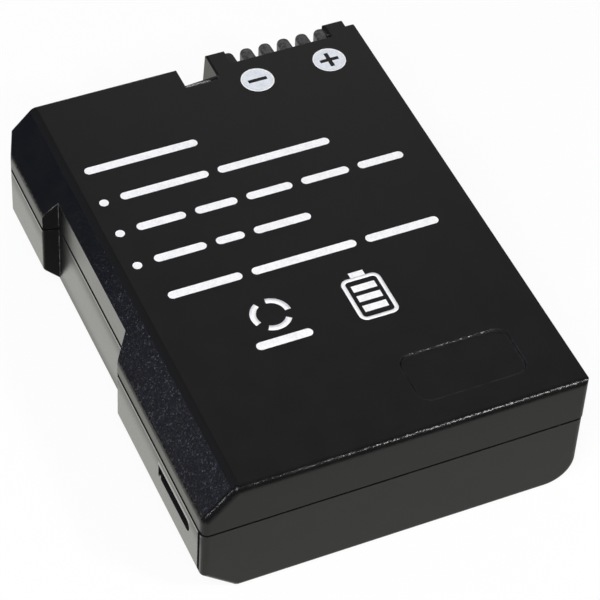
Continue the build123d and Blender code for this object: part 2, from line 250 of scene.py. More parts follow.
# %% Light the battery
dome_left = (0.07, 0.085, 0.16, 1)
dome_right = (0.16, 0.16, 0.16, 1)
dome_turn = 0.4
warm_white = (1.0, 0.99, 0.97)
lamps = {
    "key_softbox": {"place": (-0.25, -0.35, 0.55), "sides": (0.35, 0.35), "power": 3.5, "colour": warm_white},
    "left_lamp": {
        "place": (-0.1125, 0.078, 0.099), "sides": (0.04, 0.04), "power": 0.045, "colour": (0.80, 0.84, 1.0),
    },
    "edge_lamp": {
        "place": (-0.2845, -0.074, 0.135), "sides": (0.04, 0.04), "power": 0.14, "colour": (1.0, 0.98, 0.95),
    },
    "rim_lamp": {"place": (0.064, -0.1165, 0.125), "sides": (0.02, 0.02), "power": 0.11, "colour": warm_white},
    "back_panel": {"place": (0.09, 0.19, 0.13), "sides": (0.12, 0.08), "power": 0.06, "colour": warm_white},
    "lip_lamp": {
        "place": (0.0925, 0.3066, 0.012), "sides": (0.06, 0.02), "power": 0.04, "colour": (1.0, 0.99, 0.96),
    },
}


def axis_of(vector, axis):
    return vector.node("ShaderNodeSeparateXYZ", sockets={"Vector": vector}, output=axis)


def studio_dome():
    world = bpy.data.worlds.new("studio_dome")
    world.use_nodes = True
    world.node_tree.nodes.clear()
    start = Signal(world.node_tree)
    across = axis_of(start.node("ShaderNodeTexCoord", output="Generated"), "X")
    shade = blend(start, across.step(-dome_turn, dome_turn), dome_left, dome_right)
    sky = start.node("ShaderNodeBackground", sockets={"Color": shade, "Strength": 1.0})
    start.node("ShaderNodeOutputWorld", sockets={"Surface": sky})
    return world


def soft_lamp(name, place, sides, power, colour):
    """An area lamp that looks at the middle of the battery."""
    lamp = bpy.data.lights.new(name, "AREA")
    lamp.shape = "RECTANGLE"
    lamp.size, lamp.size_y = sides
    lamp.energy = power
    lamp.color = colour
    holder = bpy.data.objects.new(name, lamp)
    holder.location = place
    holder.rotation_euler = (view_target - Vector(place)).to_track_quat("-Z", "Y").to_euler()
    holder.visible_camera = False
    scene.collection.objects.link(holder)


scene.world = studio_dome()
for name, lamp in lamps.items():
    soft_lamp(name, **lamp)
scene.view_settings.view_transform = "Standard"
print("light: dome and", len(lamps), "lamps,", sum(lamp["power"] for lamp in lamps.values()), "W")

# %% [markdown]
# ## Shared patterns
# Every finish below reads Object coordinates, which are metres here, so a grain size can be
# written as a real length. Noise gives mottling and grain. A Bevel node rounds hard edges in
# the shading by a given radius, and how far it tips the surface also tells where an edge is,
# which is where handling polishes plastic first, and where the thin highlights that rims catch
# are painted in as a lighter colour.

# %% Patterns
edge_samples = 6
noise_middle = 0.5


def noise(start, size, detail=2.0, roughness=0.5):
    """Noise between about 0.3 and 0.7 whose blotches are about as wide as size, in metres."""
    sockets = {"Vector": object_place(start), "Scale": 1 / size, "Detail": detail, "Roughness": roughness}
    return start.node("ShaderNodeTexNoise", sockets=sockets)


def bumps(start, height, normal=None):
    """The normal of a surface with bumps of this height, in metres."""
    sockets = {"Distance": 1.0, "Height": height}
    if normal is not None:
        sockets["Normal"] = normal
    return start.node("ShaderNodeBump", sockets=sockets)


def rounded_normal(start, radius):
    return start.node("ShaderNodeBevel", {"samples": edge_samples}, {"Radius": radius})


def edge_mask(start, rounded, low, high):
    """1 where the rounded normal leaves the true one, which is along edges."""
    true_normal = start.node("ShaderNodeNewGeometry", output="Normal")
    sockets = {"Vector": rounded, "Vector_001": true_normal}
    agreement = start.node("ShaderNodeVectorMath", {"operation": "DOT_PRODUCT"}, sockets, "Value")
    return (1 - agreement).step(low, high)


print("patterns ready: noise, bumps and edges by", edge_samples, "samples")

# %% [markdown]
# ## From a recipe to a material
# A material could be wired socket by socket each time. Here a recipe is a function that returns
# what goes into each socket of the Principled shader: a number is set on the socket, and a
# pattern is linked to it. The frame's own pieces wear the result in their material slots, so
# their meshes stay as they are.

# %% The finish maker


def finish(name, recipe):
    """A material whose recipe returns what goes into each socket of the Principled shader."""
    material = bpy.data.materials.new(name)
    material.use_nodes = True
    tree = material.node_tree
    shader = tree.nodes["Principled BSDF"]
    for socket, value in recipe(Signal(tree)).items():
        if isinstance(value, Signal):
            tree.links.new(value.socket, shader.inputs[socket])
        else:
            shader.inputs[socket].default_value = value
    print("finish:", name, "with", len(tree.nodes), "nodes")
    return material


def dress(material, *names):
    """Give CAD nodes a finish by their material slots, with their meshes left alone."""
    for name in names:
        nodes[name].data.materials.clear()
        nodes[name].data.materials.append(material)


print("finish maker ready for", len(nodes), "pieces of the frame")

# %% [markdown]
# ## Zones of the two black mouldings
# Cover and case come from two halves of one mould, in the same black plastic. The roof is finely
# matted and the bevel spark-eroded. The left wall, which a sliding side core forms, is satin
# smooth, and rounded rims are smoother than the flats beside them. The crease where roof and bevel
# meet, the foot of the pocket's walls, the groove of the seam and the far wall of the guide recess
# are painted near black, as painted shade, because no light reaches in. A mask could be painted for
# each zone. Here they are told apart by which way the surface faces, as a share from 0 to 1, and by
# where it lies, so one set serves both mouldings.

# %% Zones by facing and place
roof_facing = (0.93, 0.99)
wall_facing = (0.90, 0.98)
satin_facing = (0.80, 0.97)
bevel_left, bevel_up, bevel_front = (0.665, 0.84), (0.3, 0.5), (0.05, 0.15)
crease_left, crease_up, crease_front = (0.03, 0.715), (0.5, 0.7), (0.02, 0.08)
lean_blur = 0.05
pocket_right_wall = (0.1, 0.3)
pocket_far_wall = (0.4, 0.6)
groove_facing = (0.6, 0.8)
recess_end_facing = (0.6, 0.9)
recess_end_place = (-10 * mm, -5 * mm)
recess_depth = (-18.7 * mm, -10 * mm)
recess_blur = 0.3 * mm
pocket_box = (3.4 * mm, 14.6 * mm, -23.5 * mm, -17.4 * mm)
pocket_lip = (13.87 * mm, 13.92 * mm)
seam_level = 8.9 * mm
groove_floor = 8.65 * mm
groove_span = (groove_floor - 0.1 * mm, seam_level)
groove_blur = 0.05 * mm
soft_edge = 0.1 * mm


def band(value, low, high, blur):
    """1 between low and high, with soft ends."""
    return value.step(low, low + blur) * (1 - value.step(high - blur, high))


def box_mask(first, second, sides):
    """1 inside a box of two coordinates, which is given by the ends of the first and of the second."""
    return band(first, *sides[:2], soft_edge) * band(second, *sides[2:], soft_edge)


def moulding_zones(start):
    facing = start.node("ShaderNodeTexCoord", output="Normal")
    place = object_place(start)
    zone = SimpleNamespace()
    zone.x, zone.y, zone.z = [axis_of(place, axis) for axis in "XYZ"]
    left, front = [0 - axis_of(facing, axis) for axis in "XY"]
    up = axis_of(facing, "Z")
    zone.roof = up.step(*roof_facing)
    wall = (left * left + front * front).step(*wall_facing)
    zone.satin = left.step(*satin_facing)
    zone.pocket = box_mask(zone.x, zone.y, pocket_box)
    pocket_foot = front.step(*pocket_far_wall) * (1 - zone.z.step(*pocket_lip))
    zone.bevel = band(left, *bevel_left, lean_blur) * up.step(*bevel_up) * (1 - front.step(*bevel_front))
    crease = band(left, *crease_left, lean_blur) * up.step(*crease_up) * (1 - front.step(*crease_front))
    zone.crease = largest(crease, zone.pocket * left.step(*pocket_right_wall), zone.pocket * pocket_foot)
    zone.rim = (1 - zone.roof) * (1 - wall) * (1 - zone.bevel) * (1 - zone.crease)
    # Painted shade goes on the seam's groove and on walls that face the front in the far half, such as the far
    # wall of the guide recess.
    groove = up.step(*groove_facing) * band(zone.z, *groove_span, groove_blur)
    zone.inner = largest(front.step(*recess_end_facing) * zone.y.step(*recess_end_place), groove)
    zone.recess = band(zone.x, *recess_depth, recess_blur)
    return zone


print("zones ready: roof, satin, pocket, bevel, crease, rim, inner and recess")

# %% [markdown]
# ## Grain, wear and painted highlights of the mouldings
# A spark-eroded surface is tiny facets, each tipped its own way, that glitter where they happen
# to face a lamp. A bump map blurs such facets, so here each cell of a Voronoi pattern tips the
# normal as a whole. Use adds the rest: a band along the left wall that a camera has polished,
# dust in the seam and in the side core's line, which leans the light upwards, a bright lip below
# it, a rubbed guide edge and finger slot, edges worn grey, and a comb that contacts have scuffed.
# The grey of the worn and rubbed edges is partly a painted highlight of the thin lines that rims
# catch, and the comb's lighter grey is partly a painted sheen of the light from behind.

# %% Grain, wear and painted highlights
edge_radius = 0.05 * mm
edge_turn = (0.03, 0.22)
# Worn and rubbed edges: wear, and a painted highlight where their colour is lightened.
worn_size = 0.33 * mm
worn_contrast = (0.42, 0.62)
rub_and_lit_radius = 0.14 * mm
rub_and_lit_turn = (0.02, 0.2)
rub_and_lit_size = 0.9 * mm
rub_and_lit_contrast = (0.36, 0.56)
rub_and_lit_levels = (9.3 * mm, 9.7 * mm)
guide_box = (-19.2 * mm, -17.0 * mm, 13.3 * mm, 14.5 * mm)
nail_box = (-23.6 * mm, -16.0 * mm, 7.3 * mm, 7.8 * mm)
lip_span = (groove_floor - 0.36 * mm, groove_floor - 0.04 * mm)
lip_blur = 0.06 * mm
dirt_span = (groove_floor - 0.06 * mm, seam_level + 0.22 * mm)
dirt_blur = 0.04 * mm
core_line = (-25.92 * mm, -25.42 * mm)
core_blur = 0.05 * mm
polish_span = (1.2 * mm, 8.8 * mm)
polish_blur = 2.6 * mm
near_to_far = (-18 * mm, 14 * mm)
comb_span = (6.2 * mm, 15.7 * mm)
comb_near = 24.45 * mm
comb_bottom = (9.8 * mm, 10.2 * mm)
fine_grain_size = 0.11 * mm
fine_grain_height = 0.0014 * mm
facet_size = 0.14 * mm
bevel_tilt, bevel_far_share = 0.40, 0.3
rim_tilt = 0.14
pocket_tilt = 0.10


def vector_math(operation, first, second):
    sockets = {"Vector": first, "Scale" if operation == "SCALE" else "Vector_001": second}
    return first.node("ShaderNodeVectorMath", {"operation": operation}, sockets)


def faceted(start, normal, tilt):
    """A normal that each cell of a Voronoi pattern tips its own way."""
    sockets = {"Vector": object_place(start), "Scale": 1 / facet_size}
    cells = start.node("ShaderNodeTexVoronoi", sockets=sockets, output="Color")
    lean = vector_math("SCALE", vector_math("SUBTRACT", cells, (noise_middle,) * 3), tilt)
    return vector_math("NORMALIZE", vector_math("ADD", normal, lean), (0, 0, 0))


def moulding_wear(start, zone):
    wear = SimpleNamespace()
    wear.nearness = 1 - zone.y.step(*near_to_far)
    wear.polish = band(zone.z, *polish_span, polish_blur)
    wear.lip = band(zone.z, *lip_span, lip_blur)
    seam_dirt = band(zone.z, *dirt_span, dirt_blur)
    core_dirt = band(zone.y, *core_line, core_blur) * (1 - zone.z.step(groove_floor, seam_level))
    wear.dirt = largest(seam_dirt, core_dirt)
    # The comb is painted a lighter mottled grey: scuffs from the contacts, and a painted sheen of the light
    # from behind.
    comb = band(zone.x, *comb_span, soft_edge) * zone.y.step(comb_near, comb_near + soft_edge)
    wear.comb = comb * zone.z.step(*comb_bottom)
    wear.guide = box_mask(zone.x, zone.y, guide_box) * (1 - seam_dirt)
    wear.nail = box_mask(zone.y, zone.z, nail_box)
    rounded = rounded_normal(start, edge_radius)
    worn_spots = noise(start, worn_size).step(*worn_contrast)
    # Worn edges: real polish in the roughness, and a painted highlight where the colour is lightened.
    wear.worn = edge_mask(start, rounded, *edge_turn) * worn_spots
    # Rubbed edges above the seam and on the guide edge: wear and a painted highlight in one lighter colour, on
    # concave corners too.
    rubbed_edge = edge_mask(start, rounded_normal(start, rub_and_lit_radius), *rub_and_lit_turn)
    rubbed_spots = noise(start, rub_and_lit_size, detail=3.0).step(*rub_and_lit_contrast)
    wear.rubbed = rubbed_edge * largest(zone.z.step(*rub_and_lit_levels), wear.guide) * rubbed_spots
    bevel_share = bevel_far_share + wear.nearness * (1 - bevel_far_share)
    tilt = zone.bevel * bevel_share * bevel_tilt + zone.rim * (rim_tilt + zone.pocket * pocket_tilt)
    dirt_lean = start.node("ShaderNodeCombineXYZ", sockets={"Z": zone.satin * wear.dirt})
    glitter = faceted(start, vector_math("ADD", rounded, dirt_lean), tilt)
    fine = noise(start, fine_grain_size, roughness=0.6)
    wear.normal = bumps(start, fine * fine_grain_height, glitter)
    return wear


print("wear ready: facets of", facet_size / mm, "mm, edges worn over", rub_and_lit_radius / mm, "mm")

# %% [markdown]
# ## Black plastic
# Zones and wear come together in one recipe. Its colour is a mottle of two near blacks, and the
# case is a touch lighter than the cover. Painted shade in the hollows, a painted sheen on the near
# end of the bevel and painted highlights on worn edges and the comb go into that colour too. Most
# of the look is gloss: each zone has its own roughness, and a clear coat stands for the polish of
# the left wall, which mirrors the white sweep.

# %% Black plastic
mottle_size = 2.6 * mm
mottle_contrast = (0.35, 0.65)
mottle_roughness = 0.06
# A lighter, bluer grey for the near end of the bevel: a painted sheen of the light that end catches.
bevel_painted_sheen = (0.0090, 0.0090, 0.0108, 1)
# The near black of the painted shade in the crease, the pocket's walls, the seam's groove and the recess's far
# wall.
painted_shade_colour = (0.0010, 0.0010, 0.0010, 1)
crease_shade_share = 0.8
# Lighter greys for worn and rubbed edges and the guide edge, which are partly wear and partly painted
# highlight.
rubbed_colour = (0.075, 0.076, 0.080, 1)
guide_rubbed_and_lit_colour = (0.26, 0.26, 0.25, 1)
worn_share = 0.5
worn_polish = 0.1
# Greys for the comb: partly scuffs, partly a painted sheen of the light that falls on it from behind.
scuff_and_sheen_dark = (0.030, 0.030, 0.030, 1)
scuff_and_sheen_light = (0.085, 0.085, 0.084, 1)
scuff_and_sheen_size = 0.32 * mm
scuff_and_sheen_contrast = (0.36, 0.66)
wall_roughness = 0.46
zone_roughness = {"roof": 0.50, "satin": 0.30, "rim": 0.22, "crease": 0.75, "inner": 0.90}
bevel_far_roughness, bevel_near_roughness = 0.25, 0.31
dirt_roughness = 0.4
plain_coat, polish_coat, lip_coat, nail_coat = 0.05, 0.55, 0.7, 0.7


def black_moulding(dark, light, recess_coat):
    """A recipe for the moulded plastic: two near blacks and the coat inside the guide recess."""

    def recipe(start):
        zone = moulding_zones(start)
        wear = moulding_wear(start, zone)
        mottle = noise(start, mottle_size, detail=3.0)
        scuffs_and_sheen = noise(start, scuff_and_sheen_size, detail=4.0, roughness=0.7).step(*scuff_and_sheen_contrast)
        tone = blend(start, mottle.step(*mottle_contrast), dark, light)
        # Painted sheen: towards the near end the bevel is painted a lighter, bluer grey, where the lamps catch
        # it.
        tone = blend(start, zone.bevel * wear.nearness, tone, bevel_painted_sheen)
        # Painted shade: the hollows and, by a share, the crease are painted towards near black.
        tone = blend(start, largest(zone.inner, zone.crease * crease_shade_share), tone, painted_shade_colour)
        # Scuffs and painted sheen on the comb.
        tone = blend(start, wear.comb, tone, blend(start, scuffs_and_sheen, scuff_and_sheen_dark, scuff_and_sheen_light))
        # Worn and rubbed edges lighten towards these greys: wear and painted highlight together.
        rubbed_tone = blend(start, wear.guide, rubbed_colour, guide_rubbed_and_lit_colour)
        bevel_change = wear.nearness * (bevel_near_roughness - bevel_far_roughness)
        gloss = wall_roughness + zone.bevel * (bevel_far_roughness - wall_roughness + bevel_change)
        for name, roughness in zone_roughness.items():
            gloss = gloss + getattr(zone, name) * (roughness - wall_roughness)
        gloss = gloss + (mottle - noise_middle) * mottle_roughness - wear.worn * worn_polish
        coat = plain_coat + wear.polish * polish_coat + wear.lip * lip_coat
        coat = coat + wear.nail * nail_coat + zone.recess * recess_coat
        return {
            "Base Color": blend(start, largest(wear.worn * worn_share, wear.rubbed), tone, rubbed_tone),
            "Roughness": gloss + zone.satin * wear.dirt * dirt_roughness,
            "Specular IOR Level": 0.22,
            "Coat Weight": zone.satin * (1 - wear.dirt) * coat,
            "Coat Roughness": 0.22,
            "Coat IOR": 1.8,
            "Normal": wear.normal,
        }

    return recipe


cover_tones = (0.0042, 0.0043, 0.0045, 1), (0.0054, 0.0054, 0.0054, 1)
case_tones = (0.0075, 0.0077, 0.0080, 1), (0.0094, 0.0096, 0.0098, 1)
cover_black = finish("cover_black", black_moulding(*cover_tones, recess_coat=0.40))
case_black = finish("case_black", black_moulding(*case_tones, recess_coat=0.0))
dress(cover_black, "upper_cover")
dress(case_black, "lower_case")

# %% [markdown]
# ## Metal inside the slots and the pack
# Five sprung clips wait at the bottom of the contact slots, plated so that they never tarnish.
# Nickel strip joins the cells. Rolled and stamped metal is never an even mirror: fine lines run
# along it, and fingerprints and flux leave duller patches, so its roughness wanders. Noise that
# is stretched along one axis gives the lines, which saves a texture.

# %% Metals
stroke_size = 0.35 * mm
stroke_stretch = 14.0
stroke_height = 0.002 * mm
stroke_roughness = 0.12
patch_size = 1.4 * mm
patch_contrast = (0.40, 0.66)
patch_share = 0.6
patch_roughness = 0.15


def rolled_metal(colour, dull, roughness):
    """A recipe for sheet metal with rolling lines along Y."""

    def recipe(start):
        stretch = {"Vector": object_place(start), "Scale": (1, 1 / stroke_stretch, 1)}
        stretched = start.node("ShaderNodeMapping", sockets=stretch)
        strokes = {"Vector": stretched, "Scale": 1 / stroke_size, "Detail": 3.0}
        lines = start.node("ShaderNodeTexNoise", sockets=strokes)
        patches = noise(start, patch_size, detail=3.0).step(*patch_contrast)
        return {
            "Base Color": blend(start, patches * patch_share, colour, dull),
            "Metallic": 1.0,
            "Roughness": roughness + lines * stroke_roughness + patches * patch_roughness,
            "Normal": bumps(start, lines * stroke_height),
        }

    return recipe


contact_gold = finish("contact_gold", rolled_metal((0.78, 0.58, 0.26, 1), (0.52, 0.38, 0.19, 1), 0.18))
nickel_strip = finish("nickel_strip", rolled_metal((0.66, 0.65, 0.61, 1), (0.48, 0.47, 0.44, 1), 0.26))
cell_can = finish("cell_can", rolled_metal((0.70, 0.71, 0.72, 1), (0.55, 0.56, 0.57, 1), 0.30))
dress(contact_gold, *[name for name in nodes if name.startswith("contact_clip")])
dress(nickel_strip, "series_strap", "positive_strap", "negative_strap")
dress(cell_can, "lower_cell", "upper_cell")

# %% [markdown]
# ## Board, foam, tape and paper
# The rest of the pack is hidden once the case is welded, but a part that can be opened up should
# not turn out grey inside. Each material is a colour pair mixed by its own pattern: the woven
# glass under a board's lacquer, the open cells of foam, the fibres of insulating paper.

# %% Inside materials
speckle_contrast = (0.35, 0.65)
speckle_roughness = 0.2
thread_scale = 1 / (3.2 * mm)
thread_height = 0.004 * mm
board_dark = (0.010, 0.085, 0.040, 1)
board_light = (0.022, 0.150, 0.070, 1)
board_roughness, thread_roughness = 0.28, 0.1


def speckled(first, second, size, height, roughness):
    """A recipe for a dull material: two colours mixed by a speckle that also stands proud."""

    def recipe(start):
        speckle = noise(start, size, detail=4.0, roughness=0.65)
        return {
            "Base Color": blend(start, speckle.step(*speckle_contrast), first, second),
            "Roughness": roughness + (speckle - noise_middle) * speckle_roughness,
            "Normal": bumps(start, speckle * height),
        }

    return recipe


def woven_board(start):
    sockets = {"Vector": object_place(start), "Scale": thread_scale}
    across, upright = [
        start.node("ShaderNodeTexWave", {"bands_direction": axis}, sockets) for axis in ("X", "Z")
    ]
    weave = across * upright
    return {
        "Base Color": blend(start, weave, board_dark, board_light),
        "Roughness": board_roughness + weave * thread_roughness,
        "Normal": bumps(start, weave * thread_height),
    }


inside_finishes = {
    "foam_grey": (
        speckled((0.10, 0.10, 0.10, 1), (0.19, 0.19, 0.18, 1), 0.30 * mm, 0.05 * mm, 0.9),
        ("floor_pad", "ceiling_pad"),
    ),
    "tape_pale": (
        speckled((0.62, 0.60, 0.50, 1), (0.74, 0.72, 0.63, 1), 0.50 * mm, 0.004 * mm, 0.35),
        ("cell_tape",),
    ),
    "paper_cream": (
        speckled((0.66, 0.60, 0.46, 1), (0.76, 0.71, 0.58, 1), 0.16 * mm, 0.008 * mm, 0.8),
        ("lid_sheet",),
    ),
    "chip_resin": (
        speckled((0.012, 0.012, 0.013, 1), (0.030, 0.030, 0.031, 1), 0.06 * mm, 0.003 * mm, 0.55),
        ("protection_chip", "transistor_pair", "thermistor", "small_parts"),
    ),
    "board_green": (woven_board, ("circuit_board",)),
}
for name, (recipe, wearers) in inside_finishes.items():
    dress(finish(name, recipe), *wearers)

# %% [markdown]
# ## Inks
# The print on the roof is a film of ink about a hundredth of a millimetre thick, pressed on
# through a screen. It is never quite even: the mesh leaves a faint mottle, and the film thins
# in places. A flat white would look pasted on, so two noises, one fine and one broad, thin the
# colour. White ink is chalky. The discs by the contacts are a pale silver grey.

# %% Ink finishes
mesh_size = 0.24 * mm
mesh_height = 0.003 * mm
film_size = 1.1 * mm
mesh_share = 0.6
ink_contrast = (0.32, 0.60)
film_roughness = 0.2


def screen_ink(thin, thick, roughness):
    """A recipe for printed ink: its colour where the film is thin, and where it is thick."""

    def recipe(start):
        mesh_mark = noise(start, mesh_size, detail=3.0, roughness=0.6)
        film = noise(start, film_size)
        cover = (mesh_mark * mesh_share + film * (1 - mesh_share)).step(*ink_contrast)
        return {
            "Base Color": blend(start, cover, thin, thick),
            "Roughness": roughness + (film - noise_middle) * film_roughness,
            "Normal": bumps(start, mesh_mark * mesh_height),
        }

    return recipe


white_ink = finish("white_ink", screen_ink((0.80, 0.80, 0.80, 1), (0.92, 0.92, 0.91, 1), 0.55))
silver_ink = finish("silver_ink", screen_ink((0.62, 0.65, 0.68, 1), (0.74, 0.77, 0.81, 1), 0.42))

# %% [markdown]
# ## Growing pieces from node trees
# Print repeats: bars in a line, arcs in a ring, levels in a sign. Geometry Nodes suit that, as
# one tree with named inputs makes every copy. The helpers below start and end a tree, run it on
# an empty mesh, keep the result as a plain mesh at the origin, take the modifier off again and
# hang the piece on the battery.

# %% Tree helpers
roof_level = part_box("upper_cover")[1].z
ink_film = 0.014 * mm
ink_sink = 0.006 * mm
ink_middle = roof_level + ink_film / 2 - ink_sink
socket_kinds = {float: "NodeSocketFloat", int: "NodeSocketInt", bool: "NodeSocketBool"}


def start_tree(name, defaults):
    """A new geometry tree with one input for each default. Returns its start and its inputs."""
    tree = bpy.data.node_groups.new(name, "GeometryNodeTree")
    for label, value in defaults.items():
        socket = tree.interface.new_socket(label, in_out="INPUT", socket_type=socket_kinds[type(value)])
        socket.default_value = value
    tree.interface.new_socket("Geometry", in_out="OUTPUT", socket_type="NodeSocketGeometry")
    entry = tree.nodes.new("NodeGroupInput")
    return Signal(tree), {label: Signal(tree, entry.outputs[label]) for label in defaults}


def end_tree(shape, material):
    """Make instances real, set the ink and close the tree."""
    real = shape.node("GeometryNodeRealizeInstances", sockets={"Geometry": shape})
    inked = shape.node("GeometryNodeSetMaterial", sockets={"Geometry": real, "Material": material})
    shape.node("NodeGroupOutput", sockets={"Geometry": inked})
    print("tree:", shape.tree.name, "with", len(shape.tree.nodes), "nodes")
    return shape.tree


def grow(name, tree, values):
    """Run a tree with these values and keep what it makes as a piece of the battery."""
    piece = bpy.data.objects.new(name, bpy.data.meshes.new(name))
    scene.collection.objects.link(piece)
    modifier = piece.modifiers.new("grow", "NODES")
    modifier.node_group = tree
    for item in tree.interface.items_tree:
        if item.in_out == "INPUT" and item.name in values:
            modifier[item.identifier] = values[item.name]
    graph = bpy.context.evaluated_depsgraph_get()
    mesh = bpy.data.meshes.new_from_object(piece.evaluated_get(graph), depsgraph=graph)
    piece.modifiers.clear()
    piece.data = mesh
    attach(piece, "root")
    print("piece:", name, len(mesh.polygons), "faces")


def point(start, x, y, z=0.0):
    return start.node("ShaderNodeCombineXYZ", sockets={"X": x, "Y": y, "Z": z})


def moved(shape, place):
    return shape.node("GeometryNodeTransform", sockets={"Geometry": shape, "Translation": place})


def on_roof(shape, entry):
    """Lay a shape on the roof at the tree's own X and Y."""
    return moved(shape, point(shape, entry["X"], entry["Y"], ink_middle))


def ink_disc(start, sides, radius):
    sockets = {"Vertices": sides, "Radius": radius, "Depth": ink_film}
    return start.node("GeometryNodeMeshCylinder", sockets=sockets, output="Mesh")


print("roof at", round(roof_level / mm, 2), "mm, ink stands", round((ink_film - ink_sink) / mm, 3), "mm proud")

# %% [markdown]
# ## Printed lines
# The roof carries five printed lines, each a row of plain white bars with round ends. They could
# be modelled one by one, but then a change of height is an edit to every bar. The tree lays out
# one row: random bar lengths are added up, scaled to fill the row, and a short round bar is put
# at each place and pulled out to its length. Pulling the two halves apart keeps the ends round,
# which scaling would not.

# %% A tree for one printed line
bar_sides = 20
bar_length_spread = (0.55, 1.5)


def running_sum(value, output):
    """Values added up along the points: Trailing for those before each point, Total for all."""
    return value.node("GeometryNodeAccumulateField", {"data_type": "FLOAT"}, {"Value": value}, output)


def store(shape, name, value):
    settings = {"data_type": "FLOAT", "domain": "POINT"}
    sockets = {"Geometry": shape, "Name": name, "Value": value}
    return shape.node("GeometryNodeStoreNamedAttribute", settings, sockets)


def stored(start, name):
    settings = {"data_type": "FLOAT"}
    return start.node("GeometryNodeInputNamedAttribute", settings, {"Name": name}, "Attribute")


def shown_if(switch, shape):
    sockets = {"Switch": switch, "True": shape}
    return shape.node("GeometryNodeSwitch", {"input_type": "GEOMETRY"}, sockets)


def printed_line_tree():
    defaults = {
        "Start": 0.0, "Level": 0.0, "Length": 0.01, "Bars": 3, "Gap": 0.001, "Bar Height": 0.001,
        "Dot": True, "Dot Radius": 0.0005, "Dot Distance": 0.001, "Dot Drop": 0.0, "Seed": 0,
    }
    start, entry = start_tree("printed_line", defaults)
    places = start.node("GeometryNodeMeshLine", sockets={"Count": entry["Bars"], "Offset": (0, 0, 0)})
    number = start.node("GeometryNodeInputIndex")
    low, high = bar_length_spread
    share = start.node(
        "FunctionNodeRandomValue",
        {"data_type": "FLOAT"},
        {"Min_001": low, "Max_001": high, "ID": number, "Seed": entry["Seed"]},
        "Value_001",
    )
    room = entry["Length"] - (entry["Bars"] - 1) * entry["Gap"]
    scale = room / running_sum(share, "Total")
    before = running_sum(share, "Trailing")
    middle = entry["Start"] + (before + share / 2) * scale + number * entry["Gap"]
    spot = point(start, middle, entry["Level"], ink_middle)
    laid = start.node("GeometryNodeSetPosition", sockets={"Geometry": places, "Position": spot})
    marked = store(laid, "pull", (share * scale - entry["Bar Height"]) / 2)

    disc = ink_disc(start, bar_sides, entry["Bar Height"] / 2)
    half_side = (0, 0, math.pi / bar_sides)
    turned = start.node("GeometryNodeTransform", sockets={"Geometry": disc, "Rotation": half_side})
    along = axis_of(start.node("GeometryNodeInputPosition"), "X")
    halves = store(turned, "half", start.math("SIGN", along, 0.0))
    bars = start.node("GeometryNodeInstanceOnPoints", sockets={"Points": marked, "Instance": halves})
    real = start.node("GeometryNodeRealizeInstances", sockets={"Geometry": bars})
    offset = point(start, stored(start, "half") * stored(start, "pull"), 0.0)
    pulled = start.node("GeometryNodeSetPosition", sockets={"Geometry": real, "Offset": offset})

    dot_start = entry["Start"] - entry["Dot Distance"]
    dot_place = point(start, dot_start, entry["Level"] - entry["Dot Drop"], ink_middle)
    dot = moved(ink_disc(start, bar_sides, entry["Dot Radius"]), dot_place)
    both = {"Geometry": [pulled, shown_if(entry["Dot"], dot)]}
    return end_tree(start.node("GeometryNodeJoinGeometry", sockets=both), white_ink)


printed_line = printed_line_tree()

# %% [markdown]
# ## The five lines
# The same tree is run once for each row, with that row's place, length and number of bars. Three
# rows begin with a dot. A fixed seed for each row gives the same bars in every run.

# %% Print the five lines
bar_height = 0.95 * mm
bar_gap = 1.0 * mm
dot_radius = 0.46 * mm
dot_distance = 1.75 * mm
dot_drop = 0.17 * mm
rows = [
    {"Start": -14.2, "Length": 11.7, "Level": 15.15, "Bars": 1, "Dot": False, "Seed": 1},
    {"Start": -12.2, "Length": 21.8, "Level": 10.75, "Bars": 2, "Dot": True, "Seed": 2},
    {"Start": -12.25, "Length": 27.8, "Level": 6.4, "Bars": 5, "Dot": True, "Seed": 3},
    {"Start": -12.25, "Length": 16.0, "Level": 1.95, "Bars": 3, "Dot": True, "Seed": 4},
    {"Start": -12.8, "Length": 27.7, "Level": -2.9, "Bars": 3, "Dot": False, "Seed": 5},
]
for number, row in enumerate(rows, 1):
    values = {
        **row,
        **{label: row[label] * mm for label in ("Start", "Length", "Level")},
        "Gap": bar_gap,
        "Bar Height": bar_height,
        "Dot Radius": dot_radius,
        "Dot Distance": dot_distance,
        "Dot Drop": dot_drop,
    }
    grow(f"printed_line_{number}", printed_line, values)

# %% [markdown]
# ## Polarity discs
# Next to the contact comb, two pale discs carry a minus and a plus, so that a charger's marks
# can be matched. The signs are bare plastic: the ink leaves them out. That is a Boolean cut of
# one or two bars from a thin disc, and a second tree draws the whiter ring round it.

# %% Trees for the polarity discs
disc_sides = 72
quarter_turn = (0, 0, math.pi / 2)
cutter_depth = 4 * ink_film


def block(start, length, width, depth):
    sockets = {"Size": point(start, length, width, depth)}
    return start.node("GeometryNodeMeshCube", sockets=sockets, output="Mesh")


def swept_band(path, width):
    """A flat band of ink along a curve, closed at the ends of an open one."""
    flat = {"Width": width, "Height": ink_film}
    section = path.node("GeometryNodeCurvePrimitiveQuadrilateral", sockets=flat)
    sockets = {"Curve": path, "Profile Curve": section, "Fill Caps": True}
    return path.node("GeometryNodeCurveToMesh", sockets=sockets)


